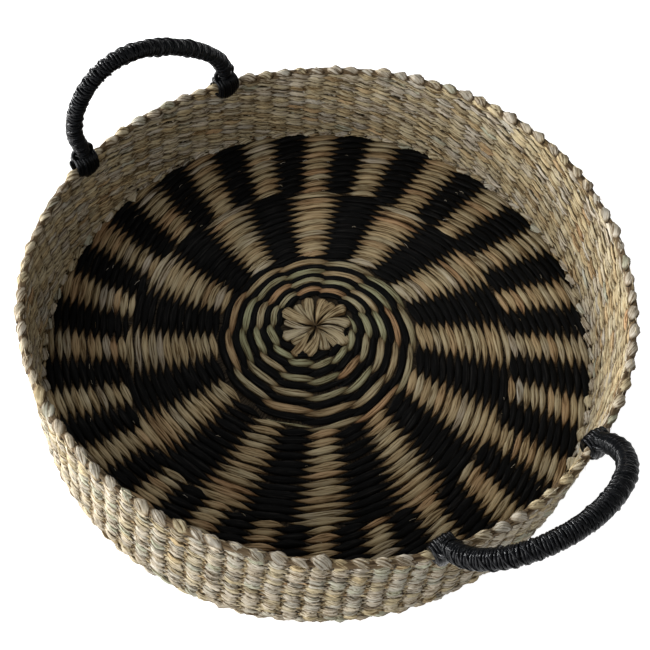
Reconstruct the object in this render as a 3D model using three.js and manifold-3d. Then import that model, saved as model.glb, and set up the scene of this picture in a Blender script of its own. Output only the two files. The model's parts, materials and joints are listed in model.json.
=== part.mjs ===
// Woven grass tray: a round twined tray with two swinging bow handles lashed to its rim.
// Millimetres, +Z up. The origin is the middle of the base on the table, +X points to the near handle.
import * as THREE from 'three';
import * as BufferGeometryUtils from 'three/addons/utils/BufferGeometryUtils.js';
import Module from 'manifold-3d';

const wasm = await Module();
wasm.setup();
const radians = THREE.MathUtils.degToRad;

// Tray body
const trayRadius = 204;
const trayHeight = 90;
const weaveThickness = 2.2;
const stakeThickness = 1.2;
const gap = 0.3;
const baseChamfer = 0.6;
const rimDip = 6;
const outOfRound = 0.032;
const wideAngle = radians(38);
const rimDrawIn = 2.5;
const rimShift = new THREE.Vector2(3.9, 4.5);

// Floor pattern
const rosetteRadius = 25;
const rosetteCrown = 0.8;
const petalDepth = 2.5;
const petalCount = 12;
const spiralPitch = 10.5;
const strandCrown = 0.5;
const bandRadius = 73;
const splitRadius = 139;
const blackRingWidth = 4;
const edgeRingWidth = 3;
const columnPairs = 12;
const firstColumn = radians(23.6);
const columnDrift = radians(-4.5);
const patternShift = new THREE.Vector2(-14.3, 9.3);

// Stakes and wall
const stakeCount = 24;
const stakeWidth = 9;
const stakeTipWidth = 5.2;
const firstStake = radians(7.5);
const wallColumns = 96;
const columnDepth = 0.9;
const rimHeight = 7.7;
const rimWidth = 9;
const beadWaist = 0.82;

// Handles
const footSpread = 120;
const nearSide = radians(-1.3);
const nearLean = radians(45);
const nearRise = 66;
const nearSway = -2.5;
const nearSlump = 0;
const farSide = radians(180.8);
const farLean = 0;
const farRise = 75.5;
const farSway = 19.5;
const farSlump = 0.05;
const coreRadius = 4.2;
const eyeHalfWidth = 8.5;
const eyeHalfHeight = 6.5;
const eyeRopeRadius = 2.2;
const wrapThickness = 1.6;
const wrapWidth = 6.2;
const wrapLoops = 22;

// Lashings
const twineRadius = 1.2;
const lashTurns = 2;
const lashPitch = 3;
const lashClearance = 0.4;
const lashCorner = 3;
const lashDrop = 4.5;

// Heights and radii that follow from the layers
const stakeLow = weaveThickness + gap;
const stakeHigh = stakeLow + stakeThickness;
const floorLow = stakeHigh + gap;
const floorTop = floorLow + weaveThickness;
const outerBack = trayRadius - weaveThickness;
const stakeOut = outerBack - gap;
const stakeIn = stakeOut - stakeThickness;
const innerBack = stakeIn - gap;
const innerFace = innerBack - weaveThickness;
const floorRadius = innerFace - 3 * gap;
const wallTop = trayHeight - rimHeight - gap;
const rimRadius = (trayRadius + innerFace) / 2;
const rimMiddle = trayHeight - rimHeight / 2;

// Facets
const discSides = 72;
const spiralSteps = 20;
const tubeSides = 6;
const bowSteps = 20;
const eyeSteps = 12;
const wrapSteps = 8;
const cornerSteps = 2;

// A point of the hand-woven tray. The rim dips towards the handles, is a little out of round and sits
// a little to one side of the base, and the floor's pattern starts off the middle.
function at(radius, angle, height) {
  const lift = Math.max(0, height - stakeLow) / (trayHeight - stakeLow);
  const oval = 1 + outOfRound * lift * Math.cos(2 * (angle - wideAngle));
  const out = radius * oval - rimDrawIn * lift;
  const inside = THREE.MathUtils.clamp((splitRadius - radius) / (splitRadius - rosetteRadius), 0, 1);
  const x = out * Math.cos(angle) + rimShift.x * lift + patternShift.x * inside ** 2;
  const y = out * Math.sin(angle) + rimShift.y * lift + patternShift.y * inside ** 2;
  return new THREE.Vector3(x, y, height - rimDip * lift * Math.cos(2 * angle));
}

// A closed solid through equal rings of points, capped at both ends or joined round.
function loft(rings, joined = false) {
  const sides = rings[0].length;
  const spans = joined ? rings.length : rings.length - 1;
  const index = [];
  for (let span = 0; span < spans; span++) {
    const here = span * sides;
    const next = ((span + 1) % rings.length) * sides;
    for (let side = 0; side < sides; side++) {
      const turn = (side + 1) % sides;
      index.push(here + side, here + turn, next + turn);
      index.push(here + side, next + turn, next + side);
    }
  }
  if (!joined) {
    const last = (rings.length - 1) * sides;
    for (let side = 1; side < sides - 1; side++) {
      index.push(0, side + 1, side);
      index.push(last, last + side, last + side + 1);
    }
  }
  const geometry = new THREE.BufferGeometry();
  geometry.setAttribute('position', new THREE.Float32BufferAttribute(rings.flat().flatMap((p) => [...p]), 3));
  geometry.setIndex(signedVolume(rings.flat(), index) < 0 ? index.reverse() : index);
  return geometry;
}

function signedVolume(points, index) {
  let sum = 0;
  for (let i = 0; i < index.length; i += 3) {
    const [a, b, c] = [points[index[i]], points[index[i + 1]], points[index[i + 2]]];
    sum += a.dot(new THREE.Vector3().crossVectors(b, c)) / 6;
  }
  return sum;
}

function toSolid(geometry) {
  const bare = geometry.clone();
  bare.deleteAttribute('normal');
  bare.deleteAttribute('uv');
  const merged = BufferGeometryUtils.mergeVertices(bare);
  const vertProperties = new Float32Array(merged.attributes.position.array);
  const triVerts = new Uint32Array(merged.index.array);
  return new wasm.Manifold(new wasm.Mesh({ numProp: 3, vertProperties, triVerts }));
}

function toGeometry(manifold) {
  const mesh = manifold.getMesh();
  const geometry = new THREE.BufferGeometry();
  geometry.setAttribute('position', new THREE.BufferAttribute(mesh.vertProperties, 3));
  geometry.setIndex(new THREE.BufferAttribute(mesh.triVerts, 1));
  return geometry;
}

// The least distance between a winding's own points that lie more than most of a loop apart.
function leastSelfGap(rings, ringsPerLoop) {
  let least = Infinity;
  for (let i = 0; i < rings.length; i++) {
    for (let j = i + Math.ceil(0.7 * ringsPerLoop); j < rings.length; j++) {
      for (const a of rings[i]) {
        for (const b of rings[j]) {
          least = Math.min(least, a.distanceTo(b));
        }
      }
    }
  }
  return least;
}

const naturalGrass = new THREE.MeshStandardMaterial({ color: 0xb59a6b, roughness: 0.75, metalness: 0 });
const blackGrass = new THREE.MeshStandardMaterial({ color: 0x15171a, roughness: 0.6, metalness: 0 });
const stakeGrass = new THREE.MeshStandardMaterial({ color: 0xa38a5c, roughness: 0.8, metalness: 0 });
const blackTwine = new THREE.MeshStandardMaterial({ color: 0x14181f, roughness: 0.65, metalness: 0 });
const ropeCore = new THREE.MeshStandardMaterial({ color: 0x1d1f22, roughness: 0.85, metalness: 0 });

function piece(name, geometry, material) {
  const mesh = new THREE.Mesh(geometry, material);
  mesh.name = name;
  return mesh;
}

// Underside weave: the flat disc that stands on the table
function undersideWeave() {
  const profile = [
    new THREE.Vector2(0, 0),
    new THREE.Vector2(trayRadius - baseChamfer, 0),
    new THREE.Vector2(trayRadius, baseChamfer),
    new THREE.Vector2(trayRadius, weaveThickness),
    new THREE.Vector2(0, weaveThickness),
  ];
  return new THREE.LatheGeometry(profile, discSides).rotateX(Math.PI / 2);
}

// Crossed stakes: the disc at the middle where the stakes lie over one another
function crossedStakes() {
  const radius = rosetteRadius + gap;
  return new THREE.CylinderGeometry(radius, radius, stakeThickness, discSides / 2)
    .rotateX(Math.PI / 2)
    .translate(patternShift.x, patternShift.y, stakeLow + stakeThickness / 2);
}

// One stake: flat along the floor, turned up at the edge and enclosed by the two wall weaves
function stake(angle) {
  const start = rosetteRadius + 3 * gap;
  const stops = [
    { low: [start, stakeLow], high: [start, stakeHigh], width: stakeTipWidth },
    { low: [stakeOut, stakeLow], high: [stakeIn, stakeHigh], width: stakeWidth },
    { low: [stakeOut, wallTop], high: [stakeIn, wallTop], width: stakeWidth },
  ];
  const rings = stops.map(({ low, high, width }) => {
    const spread = Math.asin(width / 2 / low[0]);
    return [
      at(low[0], angle - spread, low[1]),
      at(low[0], angle + spread, low[1]),
      at(high[0], angle + spread, high[1]),
      at(high[0], angle - spread, high[1]),
    ];
  });
  return loft(rings);
}

// Rosette: the petal-like stake ends round the middle of the floor
function rosette() {
  const levels = [
    { reach: 1, height: floorLow },
    { reach: 1, height: floorTop - strandCrown },
    { reach: 0.6, height: floorTop + rosetteCrown },
    { reach: 0.15, height: floorTop },
  ];
  const points = 2 * petalCount;
  const rings = levels.map(({ reach, height }) => Array.from({ length: points }, (_, i) => {
    const radius = reach * (rosetteRadius - (i % 2) * petalDepth);
    return at(radius, 2 * Math.PI * i / points, height);
  }));
  return loft(rings);
}

// One strand of the two-start spiral between the rosette and the striped band
function spiralStrand(startTurn) {
  const inner = (rosetteRadius + 2 * gap) / Math.cos(Math.PI / spiralSteps);
  const outer = bandRadius * Math.cos(Math.PI / discSides) - gap;
  const leastWidth = 2 * gap;
  const rings = [];
  const turns = (outer - inner) / spiralPitch + 2;
  for (let step = 0; step <= turns * spiralSteps; step++) {
    const turn = step / spiralSteps;
    const edge = inner + spiralPitch * (turn - 1 - startTurn);
    const low = Math.max(inner, edge + gap / 2);
    const high = Math.min(outer, edge + (spiralPitch - gap) / 2);
    const angle = -2 * Math.PI * turn;
    const shoulder = floorTop - strandCrown;
    if (high - low > leastWidth) {
      rings.push([
        at(low, angle, floorLow),
        at(high, angle, floorLow),
        at(high, angle, shoulder),
        at((low + high) / 2, angle, floorTop),
        at(low, angle, shoulder),
      ]);
    }
  }
  console.log(`spiral strand least gap to itself ${leastSelfGap(rings, spiralSteps).toFixed(2)} mm`);
  return loft(rings);
}

function floorPoint(radius, angle) {
  const { x, y } = at(radius, angle, 0);
  return new THREE.Vector2(x, y);
}

// The border round the natural columns, grown by a margin, as one closed outline
function columnOutline(margin) {
  const half = Math.PI / columnPairs / 2;
  const edgeRadius = floorRadius - edgeRingWidth - margin;
  const tipRadius = bandRadius + blackRingWidth - margin;
  const outline = [];
  const corner = (radius, middle, offset) => {
    const drift = columnDrift * (radius - bandRadius) / (floorRadius - bandRadius);
    const angle = middle + drift + offset + Math.sign(offset) * margin / radius;
    outline.push(floorPoint(radius, angle));
  };
  for (let pair = 0; pair < columnPairs; pair++) {
    const middle = firstColumn + 4 * half * pair;
    const added = middle + 2 * half;
    const step = splitRadius - margin;
    corner(edgeRadius, middle, -half / 2);
    corner(splitRadius + margin, middle, -half / 2);
    corner(splitRadius + margin, middle, -half);
    corner(tipRadius, middle, -half);
    corner(tipRadius, middle, 0);
    corner(tipRadius, middle, half);
    corner(splitRadius + margin, middle, half);
    corner(splitRadius + margin, middle, half / 2);
    corner(edgeRadius, middle, half / 2);
    corner(edgeRadius, middle + half, 0);
    corner(edgeRadius, added, -half / 2);
    corner(step, added, -half / 2);
    corner(step, added, half / 2);
    corner(edgeRadius, added, half / 2);
    corner(edgeRadius, added + half, 0);
  }
  return outline;
}

function circle(radius) {
  return Array.from({ length: discSides }, (_, i) => floorPoint(radius, 2 * Math.PI * i / discSides));
}

function floorPlate(outline, hole) {
  const shape = new THREE.Shape(outline);
  shape.holes.push(new THREE.Path(hole));
  return new THREE.ExtrudeGeometry(shape, { depth: weaveThickness, bevelEnabled: false })
    .translate(0, 0, floorLow);
}

// A wall weave: a shell with one shallow rib for each of the wall's columns
function wallWeave(face, back, foot) {
  const points = 2 * wallColumns;
  const inward = Math.sign(back - face);
  const rings = Array.from({ length: points }, (_, i) => {
    const angle = 2 * Math.PI * i / points;
    const surface = face + inward * columnDepth * (i % 2);
    return [
      at(surface, angle, foot),
      at(surface, angle, wallTop),
      at(back, angle, wallTop),
      at(back, angle, foot),
    ];
  });
  return loft(rings, true);
}

// Rim border: the stake ends folded down into a ring of rounded beads
function rimBorder() {
  const points = 2 * wallColumns;
  const rings = Array.from({ length: points }, (_, i) => {
    const angle = 2 * Math.PI * i / points;
    const swell = i % 2 ? beadWaist : 1;
    return Array.from({ length: tubeSides }, (_, side) => {
      const round = 2 * Math.PI * side / tubeSides + Math.PI / 2;
      const radius = rimRadius + swell * rimWidth / 2 * Math.cos(round);
      return at(radius, angle, rimMiddle + swell * rimHeight / 2 * Math.sin(round));
    });
  });
  return loft(rings, true);
}

// A handle's two feet on the rim, at a side of the tray given by its angle
const footAngle = Math.asin(footSpread / 2 / rimRadius);
function feet(side) {
  return [at(rimRadius, side + footAngle, trayHeight), at(rimRadius, side - footAngle, trayHeight)];
}

const [leftFoot, rightFoot] = feet(nearSide);
const halfSpan = Math.hypot(leftFoot.x - rightFoot.x, leftFoot.y - rightFoot.y) / 2;

// A mounting frame on the hinge line through a handle's feet: X outwards, Y along the line, Z up
function hingeFrame(side) {
  const [left, right] = feet(side);
  const frame = new THREE.Group();
  frame.position.copy(left).add(right).multiplyScalar(0.5);
  frame.position.z = Math.max(left.z, right.z) + gap + eyeRopeRadius;
  frame.rotation.z = Math.atan2(right.x - left.x, left.y - right.y);
  frame.updateMatrix();
  return frame;
}

// Handle bow: half an ellipse that stands on the two eyes, sways a little along the hinge line and
// slumps at its shoulders
const eyeTop = 2 * eyeHalfHeight;
function bowPoint(turn, bow) {
  const full = 1 - bow.slump * Math.sin(2 * turn) ** 2;
  const height = eyeTop + (bow.rise - eyeTop) * full * Math.sin(turn);
  return new THREE.Vector3(0, halfSpan * full * Math.cos(turn) + bow.sway * Math.sin(turn), height);
}

function bowTangent(turn, bow) {
  const full = 1 - bow.slump * Math.sin(2 * turn) ** 2;
  const fullRate = -2 * bow.slump * Math.sin(4 * turn);
  const rise = (bow.rise - eyeTop) * (full * Math.cos(turn) + fullRate * Math.sin(turn));
  const along = halfSpan * (fullRate * Math.cos(turn) - full * Math.sin(turn)) + bow.sway * Math.cos(turn);
  return new THREE.Vector3(0, along, rise).normalize();
}

// Turns that divide the bow, between its two ends, into even lengths
function evenTurns(bow, startTurn, steps) {
  const samples = 20 * bowSteps;
  const turnAt = (i) => startTurn + (Math.PI - 2 * startTurn) * i / samples;
  const lengths = [0];
  for (let i = 1; i <= samples; i++) {
    const part = bowPoint(turnAt(i), bow).distanceTo(bowPoint(turnAt(i - 1), bow));
    lengths.push(lengths[i - 1] + part);
  }
  const turns = [];
  let i = 0;
  for (let step = 0; step <= steps; step++) {
    const target = lengths[samples] * step / steps;
    while (i < samples - 1 && lengths[i + 1] < target) {
      i += 1;
    }
    turns.push(turnAt(i + (target - lengths[i]) / (lengths[i + 1] - lengths[i])));
  }
  return turns;
}

const sideways = new THREE.Vector3(1, 0, 0);
function bowRing(turn, bow) {
  const middle = bowPoint(turn, bow);
  const across = new THREE.Vector3().crossVectors(bowTangent(turn, bow), sideways);
  return Array.from({ length: tubeSides }, (_, side) => {
    const round = 2 * Math.PI * side / tubeSides;
    return middle.clone()
      .addScaledVector(sideways, coreRadius * Math.cos(round))
      .addScaledVector(across, coreRadius * Math.sin(round));
  });
}

function handleEye(side) {
  const rings = Array.from({ length: eyeSteps }, (_, step) => {
    const turn = 2 * Math.PI * step / eyeSteps;
    const out = new THREE.Vector3(0, Math.cos(turn), Math.sin(turn));
    const middle = new THREE.Vector3(0, eyeHalfWidth * out.y + side * halfSpan, eyeHalfHeight * (1 + out.z));
    return Array.from({ length: tubeSides }, (_, i) => {
      const round = 2 * Math.PI * i / tubeSides;
      return middle.clone()
        .addScaledVector(sideways, eyeRopeRadius * Math.cos(round))
        .addScaledVector(out, eyeRopeRadius * Math.sin(round));
    });
  });
  return loft(rings, true);
}

// Handle core: the rope bow, with each end bent round into an eye
function handleCore(bow) {
  const rings = Array.from({ length: bowSteps + 1 }, (_, step) => bowRing(Math.PI * step / bowSteps, bow));
  const sink = new THREE.Vector3(0, 0, -eyeRopeRadius / 2);
  const first = rings[0].map((point) => point.clone().add(sink));
  const last = rings[bowSteps].map((point) => point.clone().add(sink));
  const rope = toSolid(loft([first, ...rings, last]));
  return toGeometry(rope.add(toSolid(handleEye(1))).add(toSolid(handleEye(-1))));
}

// Handle wrap: one strip of twine wound round the bow from eye to eye
function handleWrap(bow) {
  const inner = (coreRadius + gap) / Math.cos(Math.PI / wrapSteps);
  const clearEnd = eyeRopeRadius + wrapWidth / 2 + gap;
  const startTurn = clearEnd / (bow.rise - eyeTop);
  const steps = wrapLoops * wrapSteps;
  const rings = evenTurns(bow, startTurn, steps).map((turn, step) => {
    const along = bowTangent(turn, bow);
    const across = new THREE.Vector3().crossVectors(along, sideways);
    const round = 2 * Math.PI * step / wrapSteps;
    const out = sideways.clone().multiplyScalar(Math.cos(round)).addScaledVector(across, Math.sin(round));
    const middle = bowPoint(turn, bow);
    const corner = (reach, offset) => middle.clone().addScaledVector(out, reach).addScaledVector(along, offset);
    return [
      corner(inner, -wrapWidth / 2),
      corner(inner, wrapWidth / 2),
      corner(inner + wrapThickness, wrapWidth / 4),
      corner(inner + wrapThickness, -wrapWidth / 4),
    ];
  });
  console.log(`handle wrap least gap to itself ${leastSelfGap(rings, wrapSteps).toFixed(2)} mm`);
  return loft(rings);
}

// Lashing: turns of twine round the rim, through the wall below it and through a handle's eye
const rimReach = rimWidth / 2 / Math.cos(footAngle);
const lashHalfY = lashTurns * lashPitch / 2;
const lashHalfX = rimReach + lashHalfY * Math.tan(footAngle) + lashClearance + twineRadius;
const eyeSag = eyeHalfHeight * (1 - Math.sqrt(1 - (lashHalfY / eyeHalfWidth) ** 2));
const lashHigh = eyeRopeRadius + eyeSag + lashClearance + twineRadius;
const lashLow = -(gap + eyeRopeRadius) - rimHeight - lashDrop;

function lashing(side) {
  const corners = [
    [lashHalfX - lashCorner, lashHigh - lashCorner],
    [-lashHalfX + lashCorner, lashHigh - lashCorner],
    [-lashHalfX + lashCorner, lashLow + lashCorner],
    [lashHalfX - lashCorner, lashLow + lashCorner],
  ];
  const stops = [];
  for (let turn = 0; turn < lashTurns; turn++) {
    corners.forEach(([x, z], quarter) => {
      for (let step = 0; step <= cornerSteps; step++) {
        const round = (quarter + step / cornerSteps) * Math.PI / 2;
        const out = new THREE.Vector3(Math.cos(round), 0, Math.sin(round));
        const middle = new THREE.Vector3(x, 0, z).addScaledVector(out, lashCorner);
        stops.push({ middle, out });
      }
    });
  }
  const rings = stops.map(({ middle, out }, step) => {
    middle.y = side * halfSpan + lashHalfY * (2 * step / (stops.length - 1) - 1);
    return Array.from({ length: tubeSides }, (_, i) => {
      const round = 2 * Math.PI * i / tubeSides;
      return middle.clone()
        .addScaledVector(out, twineRadius * Math.cos(round))
        .add(new THREE.Vector3(0, twineRadius * Math.sin(round), 0));
    });
  });
  console.log(`lashing least gap to itself ${leastSelfGap(rings, stops.length / lashTurns).toFixed(2)} mm`);
  return loft(rings);
}

// The slots in the wall weaves that the lashings pass through
function cutSlots(geometry, frames) {
  let wall = toSolid(geometry);
  for (const frame of frames) {
    for (const side of [1, -1]) {
      const width = 2 * (lashHalfY + twineRadius + lashClearance);
      const height = 2 * (twineRadius + lashClearance);
      const box = new THREE.BoxGeometry(4 * lashHalfX, width, height);
      box.translate(0, side * halfSpan, lashLow);
      wall = wall.subtract(toSolid(box.applyMatrix4(frame.matrix)));
    }
  }
  return toGeometry(wall);
}

const tray = new THREE.Group();
const nearFrame = hingeFrame(nearSide);
const farFrame = hingeFrame(farSide);
const frames = [nearFrame, farFrame];

tray.add(piece('floor_underside_weave', undersideWeave(), naturalGrass));
tray.add(piece('crossed_stakes', crossedStakes(), stakeGrass));
for (let i = 0; i < stakeCount; i++) {
  const name = `stake_${String(i + 1).padStart(2, '0')}`;
  tray.add(piece(name, stake(firstStake + 2 * Math.PI * i / stakeCount), stakeGrass));
}
tray.add(piece('centre_rosette', rosette(), naturalGrass));
tray.add(piece('spiral_strand_natural', spiralStrand(0), naturalGrass));
tray.add(piece('spiral_strand_black', spiralStrand(-0.5), blackGrass));
tray.add(piece('floor_weave_natural', floorPlate(circle(floorRadius), columnOutline(-gap / 2)), naturalGrass));
tray.add(piece('floor_weave_black', floorPlate(columnOutline(gap / 2), circle(bandRadius)), blackGrass));
tray.add(piece('wall_outer_weave', cutSlots(wallWeave(trayRadius, outerBack, stakeLow), frames), naturalGrass));
tray.add(piece('wall_inner_weave', cutSlots(wallWeave(innerFace, innerBack, floorLow), frames), naturalGrass));
tray.add(piece('rim_border', rimBorder(), naturalGrass));

const handles = [
  {
    name: 'near',
    frame: nearFrame,
    lean: nearLean,
    bow: { rise: nearRise, sway: nearSway, slump: nearSlump },
  },
  {
    name: 'far',
    frame: farFrame,
    lean: farLean,
    bow: { rise: farRise, sway: farSway, slump: farSlump },
  },
];
for (const { name, frame, lean, bow } of handles) {
  const handle = new THREE.Group();
  handle.rotation.y = lean;
  handle.add(piece(`${name}_handle_core`, handleCore(bow), ropeCore));
  handle.add(piece(`${name}_handle_wrap`, handleWrap(bow), blackTwine));
  frame.add(handle);
  frame.add(piece(`${name}_left_lashing`, lashing(1), blackTwine));
  frame.add(piece(`${name}_right_lashing`, lashing(-1), blackTwine));
  tray.add(frame);
  const axis = new THREE.Vector3(0, 1, 0).applyAxisAngle(new THREE.Vector3(0, 0, 1), frame.rotation.z);
  console.log(`${name} hinge at ${frame.position.toArray().map((n) => n.toFixed(2))} along ${
    axis.toArray().map((n) => n.toFixed(5))}`);
}

export default tray;
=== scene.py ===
import json
import math

import bpy
import numpy as np
from mathutils import Matrix, Vector


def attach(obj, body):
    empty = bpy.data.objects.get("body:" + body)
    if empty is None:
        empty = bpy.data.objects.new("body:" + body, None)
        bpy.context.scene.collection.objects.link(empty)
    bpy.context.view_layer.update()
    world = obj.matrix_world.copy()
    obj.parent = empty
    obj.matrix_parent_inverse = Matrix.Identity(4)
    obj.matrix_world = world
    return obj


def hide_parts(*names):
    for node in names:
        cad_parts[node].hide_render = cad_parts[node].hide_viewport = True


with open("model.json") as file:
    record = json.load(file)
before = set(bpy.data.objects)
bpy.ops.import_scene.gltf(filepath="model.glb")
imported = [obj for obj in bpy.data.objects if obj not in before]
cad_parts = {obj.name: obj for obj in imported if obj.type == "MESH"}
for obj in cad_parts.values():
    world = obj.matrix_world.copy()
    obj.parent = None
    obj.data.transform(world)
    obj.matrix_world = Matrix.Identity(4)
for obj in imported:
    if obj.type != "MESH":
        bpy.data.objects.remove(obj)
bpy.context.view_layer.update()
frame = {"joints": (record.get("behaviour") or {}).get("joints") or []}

mm = 0.001
fullTurn = 2 * math.pi
upward = np.array([0.0, 0.0, 1.0])
rng = np.random.default_rng(11)

# camera, fitted to the rim, the floor's edge and the handles' feet
photoCamera = {
    "azimuth": 49.4,  # degrees round from -Y
    "elevation": 60.49,
    "distance": 937.6,  # mm from the middle of the base
    "yaw": 0.005,  # radians, as pitch and roll
    "pitch": 0.0196,
    "roll": 0.017,
    "focal": 1286.3,  # pixels
    "imageSide": 650,
    "sensor": 36.0,  # mm
}


# from the tray towards the camera or a lamp
def directionTo(spec):
    azimuth = math.radians(spec["azimuth"])
    elevation = math.radians(spec["elevation"])
    flat = math.cos(elevation)
    return Vector((math.sin(azimuth) * flat, -math.cos(azimuth) * flat, math.sin(elevation)))


def turnAxes(first, second, angle):
    c, s = math.cos(angle), math.sin(angle)
    return first * c - second * s, second * c + first * s


def makeCamera(spec):
    back = directionTo(spec)
    azimuth = math.radians(spec["azimuth"])
    right = Vector((math.cos(azimuth), math.sin(azimuth), 0))
    ahead = -back
    up = right.cross(ahead)
    right, ahead = turnAxes(right, ahead, spec["yaw"])
    up, ahead = turnAxes(up, ahead, spec["pitch"])
    up, right = turnAxes(up, right, spec["roll"])
    data = bpy.data.cameras.new("photoCamera")
    data.sensor_width = spec["sensor"]
    data.lens = spec["focal"] * spec["sensor"] / spec["imageSide"]
    camera = bpy.data.objects.new("photoCamera", data)
    place = Matrix((right, up, -ahead)).transposed().to_4x4()
    place.translation = back * spec["distance"] * mm
    camera.matrix_world = place
    bpy.context.collection.objects.link(camera)
    bpy.context.scene.camera = camera


makeCamera(photoCamera)
print("camera set")

# the hand-woven form: a dipping rim that sits a little off the base, and a pattern off the middle
trayForm = {
    "height": 90.0,
    "foot": 2.5,  # height where the wall starts
    "dip": 6.0,
    "outOfRound": 0.032,
    "wideAngle": 38.0,  # degrees
    "drawIn": 2.5,
    "rimShift": (3.9, 4.5),
    "patternShift": (-14.3, 9.3),
    "rosette": 25.0,  # radii between which the pattern's shift fades
    "split": 139.0,
    "wallMiddle": 200.9,  # radius of the wall's stakes
    "floorMiddle": 3.4,  # height of the floor's stakes
}


def trayPoint(radius, angle, height):
    form = trayForm
    lift = np.maximum(0, height - form["foot"]) / (form["height"] - form["foot"])
    oval = 1 + form["outOfRound"] * lift * np.cos(2 * (angle - math.radians(form["wideAngle"])))
    out = radius * oval - form["drawIn"] * lift
    inside = np.clip((form["split"] - radius) / (form["split"] - form["rosette"]), 0, 1) ** 2
    x = out * np.cos(angle) + form["rimShift"][0] * lift + form["patternShift"][0] * inside
    y = out * np.sin(angle) + form["rimShift"][1] * lift + form["patternShift"][1] * inside
    rise = height - form["dip"] * lift * np.cos(2 * angle)
    return np.stack(np.broadcast_arrays(x, y, rise), -1) * mm


def unit(vectors):
    return vectors / np.linalg.norm(vectors, axis=-1, keepdims=True)


def outwardAt(angle):
    return np.stack([np.cos(angle), np.sin(angle), np.zeros_like(angle)], -1)


def upwardAt(points):
    return np.broadcast_to(upward, points.shape)


# what every strand shares
strandForm = {
    "plies": [(3, 0.4, 40), (5, 0.35, -55), (8, 0.25, 70)],  # lobes, share of the grain, twist per m
    "carry": 0.5,  # share of a bump that reaches the next ring
    "flank": 0.55,  # the shade of a strand's edges starts here
    "tableGap": 0.1,
    "streakStart": 9.0,  # the streaks of each strand start elsewhere
    "streakShift": 400.0,
}


# a growing set of strands that becomes one mesh, with its fibre direction and its painted light and
# shade kept for the materials
class StrandSet:
    def __init__(self):
        self.points, self.faces, self.fibre, self.tone, self.paintedLight = [], [], [], [], []
        self.count = 0

    # half sizes in mm, as one number or one for each point
    def add(self, centre, normal, halfWidth, halfThick, tone, paintedLight, sides, closed=False,
            grain=0.0, rough=0.0, edge=1.0, ply=1.0):
        n = len(centre)
        halfWidth, halfThick, tone, paintedLight = (
            np.broadcast_to(values, n)[:, None] for values in (halfWidth, halfThick, tone, paintedLight))
        ahead = np.roll(centre, -1, 0) - np.roll(centre, 1, 0)
        if not closed:
            ahead[0], ahead[-1] = centre[1] - centre[0], centre[-1] - centre[-2]
        ahead = unit(ahead)
        across = unit(np.cross(normal, ahead))
        up = np.cross(ahead, across)
        turn = np.linspace(0, fullTurn, sides, endpoint=False)
        steps = np.linalg.norm(np.diff(centre, axis=0), axis=1)
        along = np.concatenate([[0], np.cumsum(steps)])[:, None]
        groove = 1.0
        for lobes, share, twist in strandForm["plies"]:
            start = rng.uniform(0, fullTurn)
            groove = groove + grain * share * np.cos(lobes * turn + start + ply * twist * along)
        if rough:
            ragged = rng.normal(0, rough, (n, sides))
            groove = groove + ragged + strandForm["carry"] * np.roll(ragged, 1, 0)
        x = halfWidth * mm * np.cos(turn) * groove
        y = halfThick * mm * np.sin(turn) * groove
        rings = centre[:, None] + across[:, None] * x[..., None] + up[:, None] * y[..., None]
        lowest = strandForm["tableGap"] * mm
        rings[..., 2] = np.maximum(rings[..., 2], lowest)  # pressed flat by the table
        streak = np.broadcast_to(along + rng.uniform(0, strandForm["streakStart"]), x.shape)
        fibre = np.stack([streak, x, y], -1) / mm
        fibre[..., 1:] += rng.uniform(0, strandForm["streakShift"], 2)
        self.points.append(rings.reshape(-1, 3))
        self.fibre.append(fibre.reshape(-1, 3))
        self.tone.append(np.repeat(tone, sides))
        # painted shade towards a strand's side edges, down to edge, times the painted light and shade
        # given for each point
        flank = np.abs(np.sin(turn)) / strandForm["flank"]
        flank = np.clip(flank, np.reshape(edge, (-1, 1)), 1)
        self.paintedLight.append((np.abs(paintedLight) * flank).ravel())
        column = np.arange(sides)
        turned = (column + 1) % sides
        row = np.arange(n if closed else n - 1)[:, None]
        here, after = row * sides, (row + 1) % n * sides
        quads = np.stack([here + column, here + turned, after + turned, after + column], -1)
        self.faces += (quads.reshape(-1, 4) + self.count).tolist()
        if not closed:
            self.faces.append((self.count + column[::-1]).tolist())
            self.faces.append((self.count + (n - 1) * sides + column).tolist())
        self.count += n * sides

    def build(self, name, material, body, slot, *nodes):
        mesh = bpy.data.meshes.new(name)
        mesh.from_pydata(np.concatenate(self.points).tolist(), [], self.faces)
        mesh.polygons.foreach_set("use_smooth", np.ones(len(mesh.polygons), bool))
        fibre = mesh.attributes.new("fibre", "FLOAT_VECTOR", "POINT")
        fibre.data.foreach_set("vector", np.concatenate(self.fibre).astype(np.float32).ravel())
        for key, values in (("tone", self.tone), ("paintedLight", self.paintedLight)):
            layer = mesh.attributes.new(key, "FLOAT", "POINT")
            layer.data.foreach_set("value", np.concatenate(values).astype(np.float32))
        mesh.materials.append(material)
        piece = bpy.data.objects.new(name, mesh)
        bpy.context.collection.objects.link(piece)
        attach(piece, body)
        if nodes:
            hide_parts(*nodes)
        print(name, len(mesh.vertices), "vertices")


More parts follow.
